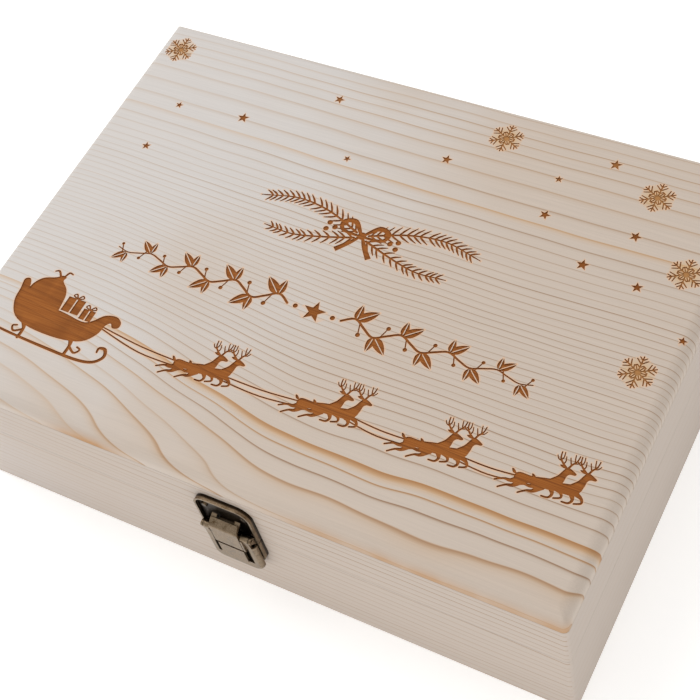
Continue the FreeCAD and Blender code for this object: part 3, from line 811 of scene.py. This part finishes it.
# Where dark rings come out on the panel's front edge: start, full, fading, end and strength
STREAKS = [(-94.0, -70.0, -60.0, -36.0, 0.95), (5.0, 60.0, 150.0, 190.0, 0.8)]
STREAK_LEVELS = (9.5, 1.0)
STREAK_FRONT = (PANEL_ROUND, 0.5)
STREAK_PATCH = 26
STREAK_PATCHES = (0.32, 0.62, 0.45, 1.0)


def panel_rings(graph):
    """Which growth ring a place of the panel lies in, how strongly it shows and how broad its dark is."""
    x, y, z = graph.places()
    left, right = -PANEL_HALF[0], PANEL_HALF[0]
    from_pith = graph.minus(y, PITH_PLACE)
    depth = graph.minus(PITH_DEPTH, graph.times(graph.minus(PANEL_TOP, z), PITH_RISE))
    squares = graph.plus(graph.math("POWER", from_pith, 2.0), graph.math("POWER", depth, 2.0))
    radius = graph.math("SQRT", squares)
    near_front = graph.math("EXPONENT", graph.times(from_pith, -1 / TAPER_REACH))
    taper = graph.times(graph.ramp(x, left, right * TAPER_END, 0.0, TAPER), near_front)
    wave_place = graph.vector(graph.times(x, 1 / WAVE_LENGTH), graph.times(radius, 1 / WAVE_BREADTH), 0.0)
    wave = graph.minus(graph.noise(wave_place, 1.0, 1.0), 0.5)
    place = graph.plus(radius, taper, graph.times(wave, graph.ramp(radius, *WAVE_SIZES)))
    share = graph.math("DIVIDE", place, RING_SPAN)
    counts = [(distance, ring / RING_COUNT) for distance, ring in RING_PLACES]
    count, contrast, breadth = (
        graph.curve(share, [(distance / RING_SPAN, size) for distance, size in sizes])
        for sizes in (counts, RING_CONTRAST, RING_BREADTH))
    fade_end, *strengths = PANEL_FADE
    towards_right = graph.ramp(x, left, right * fade_end, *strengths)
    return graph.times(count, RING_COUNT), graph.times(contrast, towards_right), breadth


def board_rings(graph, across, depth, spacing, contrast, seed):
    """Straight growth rings along a board; across and depth are axis numbers."""
    places = graph.places()
    along = graph.times(places[other_axis(across, depth)], 1 / BOARD_DRIFT_LENGTH)
    drift_place = graph.vector(along, graph.times(places[across], 1 / BOARD_DRIFT_BREADTH), seed)
    drift = graph.times(graph.noise(drift_place, 1.0, 1.0), BOARD_DRIFT)
    place = graph.plus(places[across], graph.times(places[depth], BOARD_TILT), drift)
    rings = graph.plus(graph.math("DIVIDE", place, spacing), seed * BOARD_SEED_STEP + BOARD_FIRST_RING)
    fade_end, least = BOARD_FADE
    shown = graph.ramp(places[X_AXIS], -PANEL_HALF[0], PANEL_HALF[0] * fade_end, contrast * least, contrast)
    return rings, shown, BOARD_BREADTH


def other_axis(first, second):
    return X_AXIS + Y_AXIS + Z_AXIS - first - second


def latewood(graph, rings, contrast, breadth):
    """How dark the grain is: each ring darkens outwards and ends at a sharp line."""
    counted = graph.minus(rings, LINE_TAIL)
    part = graph.math("FRACT", counted)
    ring_number = graph.math("FLOOR", counted)
    chance = graph.node("ShaderNodeTexWhiteNoise", 0, {"W": ring_number}, noise_dimensions="1D")
    broad = graph.math("MAXIMUM", graph.times(chance, CHANCE_BREADTH), breadth)
    power = graph.line(broad, 0.0, 1.0, *RISE_POWERS)
    rise = graph.math("POWER", graph.line(part, 0.0, 1 - LINE_TAIL), power)
    fall = graph.ramp(part, 1 - LINE_TAIL, 1.0, 1.0, 0.0)
    strength = graph.times(graph.line(chance, 0.0, 1.0, CHANCE_STRENGTH, 1.0), contrast)
    return graph.times(rise, fall, strength)


def fibres(graph, along):
    """Fine streaks along the grain, between 0 and 1."""
    sizes = [FIBRE_BREADTH] * 3
    sizes[along] = FIBRE_LENGTH
    stretched = graph.vector(*(graph.times(place, 1 / size) for place, size in zip(graph.places(), sizes)))
    return graph.noise(stretched, 1.0, *FIBRE_DETAIL)


def wood_shader(graph, along, rings, pales, lines):
    """The bare wood's colour, from its rings, the pale wood's two colours and a line's two colours."""
    dark = latewood(graph, *rings)
    streaks = fibres(graph, along)
    x, y, z = graph.places()
    warmth = graph.minus(graph.times(x, 1 / WARM_TO_RIGHT), graph.times(y, 1 / WARM_TO_FRONT))
    clouds = graph.line(graph.noise(graph.vector(x, y, z), 1 / CLOUD_SIZE), 0.0, 1.0, *CLOUD_SHARES)
    pale = graph.mix(graph.ramp(graph.plus(clouds, warmth), *WARM_RANGE), *pales)
    glow = graph.mix(graph.line(dark, *GLOW_RANGE), pale, lines[0])
    grain = graph.mix(graph.line(dark, *LINE_RANGE), glow, lines[1])
    shade = graph.line(streaks, *FIBRE_SHADES)
    shades = graph.node("ShaderNodeCombineColor", inputs=enumerate((shade, shade, shade)))
    graph.surface({"Roughness": graph.line(streaks, *WOOD_ROUGHNESS), "Specular IOR Level": WOOD_SPECULAR})
    relief = graph.minus(graph.times(streaks, FIBRE_RELIEF), graph.times(dark, LINE_RELIEF))
    graph.bump(relief, *WOOD_BUMP)
    return graph.mix(1.0, grain, shades, "MULTIPLY")


def front_streak(graph):
    """Where a dark ring comes out low on the panel's front edge."""
    x, y, z = graph.places()
    length = graph.plus(*(graph.times(graph.ramp(x, start, full, 0.0, strength), graph.ramp(x, end, fading))
                          for start, full, fading, end, strength in STREAKS))
    height = graph.ramp(z, *(PANEL_FLOOR + level for level in STREAK_LEVELS))
    front_only = graph.ramp(y, *(PANEL_FRONT + inset for inset in STREAK_FRONT))
    patch_noise = graph.noise(graph.vector(graph.times(x, 1 / STREAK_PATCH), 0.0, 0.0), 1.0)
    patches = graph.ramp(patch_noise, *STREAK_PATCHES)
    return graph.times(length, height, graph.times(front_only, patches))


def pine_panel():
    """The panel's bare wood, golden in the snowflakes and peach-coloured round the engraving."""
    graph = Graph("pine_panel")
    rings = panel_rings(graph)
    golden = graph.ramp(rings[2], *GOLDEN_BREADTHS)
    lines = (graph.mix(golden, UMBER_PALE, GOLD), graph.mix(golden, UMBER, LATEWOOD))
    colour = wood_shader(graph, X_AXIS, rings, (EARLYWOOD, EARLYWOOD_WARM), lines)
    gilt = graph.mix(graph.times(graph.attribute("glow"), GLOW_SHARE), colour, FLAKE_GOLD)
    streaked = graph.mix(front_streak(graph), gilt, STREAK)
    halo = graph.times(graph.math("POWER", graph.attribute("scorch"), HALO_POWER), HALO_SHARE)
    graph.surface({"Base Color": graph.mix(halo, streaked, PEACH)})
    return graph.material


def burnt_pine():
    """The engraving's wood, darker at its rims and paler in the snowflakes and towards the back."""
    graph = Graph("burnt_pine")
    dark = latewood(graph, *panel_rings(graph))
    streaks = fibres(graph, X_AXIS)
    base = graph.mix(graph.ramp(streaks, *BURNT_RANGE), BURNT, BURNT_PALE)
    ringed = graph.mix(graph.times(dark, BURNT_RING_SHARE), base, BURNT_DARK)
    edged = graph.mix(graph.times(graph.attribute("scorch"), BURNT_RIM_SHARE), ringed, BURNT_DARK)
    far = graph.ramp(graph.places()[Y_AXIS], *BURNT_FAR)
    light = graph.math("MAXIMUM", graph.times(graph.attribute("glow"), BURNT_GLOW_SHARE), far)
    graph.surface({"Base Color": graph.mix(light, edged, FLAKE_BROWN), "Roughness": BURNT_ROUGHNESS,
                   "Specular IOR Level": BURNT_SPECULAR})
    graph.bump(streaks, *BURNT_BUMP)
    return graph.material


def pine_board(name, across, depth, spacing, contrast, seed):
    graph = Graph(name)
    rings = board_rings(graph, across, depth, spacing, contrast, seed)
    colour = wood_shader(graph, other_axis(across, depth), rings, (BOARD, BOARD_WARM), (UMBER_PALE, UMBER))
    graph.surface({"Base Color": colour})
    return graph.material


BRONZE = srgb(126, 108, 87)
BRONZE_DARK = srgb(92, 73, 50)
# Black bronze: the screws' own tone, and the patina and painted shade close to the wall
BRONZE_BLACK = srgb(44, 34, 24)
BRONZE_WORN = srgb(192, 174, 147)
PATINA_AND_SHADE_REACH = (0.9, 1.8)
BLOTCHES = (0.35, 4.0, 0.6)
BLOTCH_RANGE = (0.3, 0.55)
SPECKS = (2.6, 3.0, 0.6)
SPECK_RANGE = (0.42, 0.66)
BRONZE_ROUGHNESS = (0.3, 0.7, 0.3, 0.48)
BRONZE_BUMP = (0.05, 0.35)


def bronze(name, tone, worn, wall=None):
    """Darkened bronze with blotches and a share of worn specks, black where it lies close to the wall: patina
    in the plate's hollow, and painted shade where the plate meets the wood.
    """
    graph = Graph(name)
    x, y, z = graph.places()
    place = graph.vector(x, y, z)
    blotches = graph.noise(place, *BLOTCHES)
    specks = graph.noise(place, *SPECKS)
    base = graph.mix(graph.ramp(blotches, *BLOTCH_RANGE), BRONZE_DARK, tone)
    rubbed = graph.times(graph.ramp(specks, *SPECK_RANGE), worn)
    # Close to the wall the colour turns black with no worn specks: partly patina, partly painted shade in the
    # hollow and along the wood
    if wall is not None:
        reach = graph.ramp(graph.minus(wall, y), *PATINA_AND_SHADE_REACH)
        base = graph.mix(reach, BRONZE_BLACK, base)
        rubbed = graph.times(rubbed, reach)
    graph.surface({"Base Color": graph.mix(rubbed, base, BRONZE_WORN), "Metallic": 1.0,
                   "Roughness": graph.line(blotches, *BRONZE_ROUGHNESS)})
    graph.bump(specks, *BRONZE_BUMP)
    return graph.material


def dress(node, *materials):
    """Give a node its materials."""
    slots = nodes[node].data.materials
    slots.clear()
    for material in materials:
        slots.append(material)


SHARP_ANGLE = math.radians(40)


def ease(node, width, material_index=-1, segments=2):
    """Break a node's sharp edges."""
    modifier = nodes[node].modifiers.new("eased_edges", "BEVEL")
    modifier.width = width * MM
    modifier.segments = segments
    modifier.limit_method = "ANGLE"
    modifier.angle_limit = SHARP_ANGLE
    modifier.material = material_index
    modifier.harden_normals = False


# The wood

CARVED_ANGLE = math.radians(35)

panel_piece = new_piece("lid_engraved_panel", Panel(engraving()).mesh(), "lid", "pine_panel", "lid_top_panel")
for material in (pine_panel(), burnt_pine()):
    panel_piece.data.materials.append(material)
smooth(panel_piece.data, CARVED_ANGLE)

side_pine = pine_board("pine_sides", across=Z_AXIS, depth=X_AXIS, spacing=6.2, contrast=0.4, seed=3.0)
front_pine = pine_board("pine_front", across=Z_AXIS, depth=Y_AXIS, spacing=4.4, contrast=1.0, seed=1.0)
back_pine = pine_board("pine_back", across=Z_AXIS, depth=Y_AXIS, spacing=4.2, contrast=0.6, seed=2.0)
plywood = pine_board("plywood", across=Y_AXIS, depth=Z_AXIS, spacing=11.0, contrast=0.4, seed=4.0)
SIDE_PINES = {"front": front_pine, "back": back_pine, "left": side_pine, "right": side_pine}
for side, material in SIDE_PINES.items():
    for node in (f"base_{side}_wall", f"lid_{side}_rail"):
        dress(node, material)
        ease(node, JOINT_EASE)
dress("base_bottom_panel", plywood)

# The metal

METAL_EASE = 0.15
SCREW_EASE = 0.3
LATCH_NODES = ["latch_strike_plate", "latch_base_plate", "latch_lever", "latch_link", "latch_lever_pin",
               "latch_link_pin"]
HINGE_NODES = [f"{side}_hinge_{piece}" for side in ("left", "right")
               for piece in ("base_leaf", "lid_leaf", "pin")]
SCREW_NODES = ["hinge_base_screws", "hinge_lid_screws", "latch_base_screws", "latch_strike_screws"]
# The latch's bronze turns black near the box's front: patina and painted shade
latch_bronze = bronze("latch_bronze", BRONZE, 0.3, PANEL_FRONT)
hinge_bronze = bronze("hinge_bronze", BRONZE, 0.3)
worn_bronze = bronze("worn_bronze", BRONZE_WORN, 0.8)
# The screws' dark bronze; the same material also makes the painted-shade sheet inside the lever
screw_bronze = bronze("screw_bronze", BRONZE_BLACK, 0.1)
for node in LATCH_NODES + HINGE_NODES:
    dress(node, latch_bronze if node in LATCH_NODES else hinge_bronze, worn_bronze)
    ease(node, METAL_EASE, 1)
for node in SCREW_NODES:
    dress(node, screw_bronze)
    ease(node, SCREW_EASE, segments=4)

# Two thin sheets of the latch: a dark one behind the lever's slots, which is painted shade in the lever's
# hollow, and one over the link's notch

SHADE_SHEET_HALF = 9.3
SHADE_SHEET_OUT = (4.05, 4.35)
SHADE_SHEET_DROP = (7.6, 20.0)
CAP_HALF = 6.6
CAP_ARCH_HALF = 4.6
CAP_GAP = 0.03
CAP_ARCH = 0.3
CAP_TOP = 0.7
CAP_INSETS = (1.1, 1.6)
LINK_RISE = 3.4


def drawn_sheet(name, outline, along, material, body):
    """A sheet drawn out from a closed outline; places in millimetres."""
    count = len(outline)
    corners = [place * MM for place in outline] + [(place + along) * MM for place in outline]
    faces = [tuple(range(count)), tuple(reversed(range(count, 2 * count)))]
    faces += [(i, count + i, count + (i + 1) % count, (i + 1) % count) for i in range(count)]
    mesh = bpy.data.meshes.new(name)
    mesh.from_pydata(corners, [], faces)
    mesh.materials.append(material)
    new_piece(name, mesh, body, "latch_bronze")


def lever_shade_sheet():
    """A dark sheet inside the lever, which hangs below the parting of lid and base; it is painted shade
    behind the lever's slots.
    """
    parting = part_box("base_front_wall")[1].z / MM
    near, far = (PANEL_FRONT - out for out in SHADE_SHEET_OUT)
    top, foot = (parting - drop for drop in SHADE_SHEET_DROP)
    outline = [Vector((-SHADE_SHEET_HALF, y, z)) for y, z in ((near, top), (near, foot), (far, foot), (far, top))]
    # Dark bronze stands in for the shade in the lever's hollow, seen through its slots
    drawn_sheet("latch_lever_shade_sheet", outline, Vector((2 * SHADE_SHEET_HALF, 0, 0)), screw_bronze, "latch_lever")


def link_cap():
    """A sheet along the link's sloped top, arched to clear the catch."""
    link_low, link_high = (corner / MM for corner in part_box("latch_link"))
    shoulder = Vector((0, link_low.y, link_high.z - LINK_RISE))
    tip = Vector((0, link_high.y, link_high.z))
    slope = (tip - shoulder).normalized()
    away = Vector((0, -slope.z, slope.y))
    arch = [(-CAP_HALF, CAP_GAP), (-CAP_ARCH_HALF, CAP_GAP), (-CAP_ARCH_HALF, CAP_ARCH),
            (CAP_ARCH_HALF, CAP_ARCH), (CAP_ARCH_HALF, CAP_GAP), (CAP_HALF, CAP_GAP),
            (CAP_HALF, CAP_TOP), (-CAP_HALF, CAP_TOP)]
    outline = [shoulder + slope * CAP_INSETS[0] + Vector((x, 0, 0)) + away * rise for x, rise in arch]
    along = tip - shoulder - slope * sum(CAP_INSETS)
    drawn_sheet("latch_link_cap", outline, along, latch_bronze, "latch_link")


lever_shade_sheet()
link_cap()

# The studio, in metres

FLOOR_HALF = 6.0
FLOOR_COLOUR = srgb(250, 250, 249)
FLOOR_GLOW = 0.34
WHITE = (1.0, 1.0, 1.0, 1.0)
WORLD_STRENGTH = 0.66
LIGHT_AIM = (0, 0, 0.05)

floor_mesh = bpy.data.meshes.new("floor")
floor_corners = [(x * FLOOR_HALF, y * FLOOR_HALF, 0) for x, y in ((-1, -1), (1, -1), (1, 1), (-1, 1))]
floor_mesh.from_pydata(floor_corners, [], [(0, 1, 2, 3)])
floor = bpy.data.objects.new("floor", floor_mesh)
bpy.context.scene.collection.objects.link(floor)
floor_graph = Graph("floor")
floor_graph.surface({"Base Color": FLOOR_COLOUR, "Roughness": 0.9, "Specular IOR Level": 0.1,
                     "Emission Color": WHITE, "Emission Strength": FLOOR_GLOW})
floor_mesh.materials.append(floor_graph.material)

world = bpy.data.worlds.new("studio")
bpy.context.scene.world = world
world.use_nodes = True
background = world.node_tree.nodes["Background"]
background.inputs["Color"].default_value = WHITE
background.inputs["Strength"].default_value = WORLD_STRENGTH


def look_at(thing, place, aim, roll=0.0):
    """Put a lamp or a camera at a place and point it at the aim."""
    thing.location = place
    thing.rotation_mode = "QUATERNION"
    turn = (Vector(aim) - Vector(place)).to_track_quat("-Z", "Y")
    thing.rotation_quaternion = turn @ Quaternion((0, 0, 1), roll)
    bpy.context.scene.collection.objects.link(thing)


def area_light(name, place, size, power):
    light = bpy.data.lights.new(name, "AREA")
    light.size = size
    light.energy = power
    look_at(bpy.data.objects.new(name, light), place, LIGHT_AIM)


area_light("key", (-0.9, 0.4, 1.5), size=1.2, power=14.0)
area_light("fill", (0.4, -1.3, 0.8), size=1.0, power=3.4)

CAMERA_PLACE = Vector((252.3, -297.1, 590.2)) * MM
CAMERA_AIM = Vector((22.4, -33.6, 90.0)) * MM
CAMERA_ROLL = math.radians(-16.6)
CAMERA_LENS = 76.31
camera_data = bpy.data.cameras.new("camera")
camera_data.sensor_width = 36.0
camera_data.lens = CAMERA_LENS
camera_data.clip_start = 0.01
camera = bpy.data.objects.new("camera", camera_data)
look_at(camera, CAMERA_PLACE, CAMERA_AIM, CAMERA_ROLL)
bpy.context.scene.camera = camera
bpy.context.scene.view_settings.view_transform = "Standard"
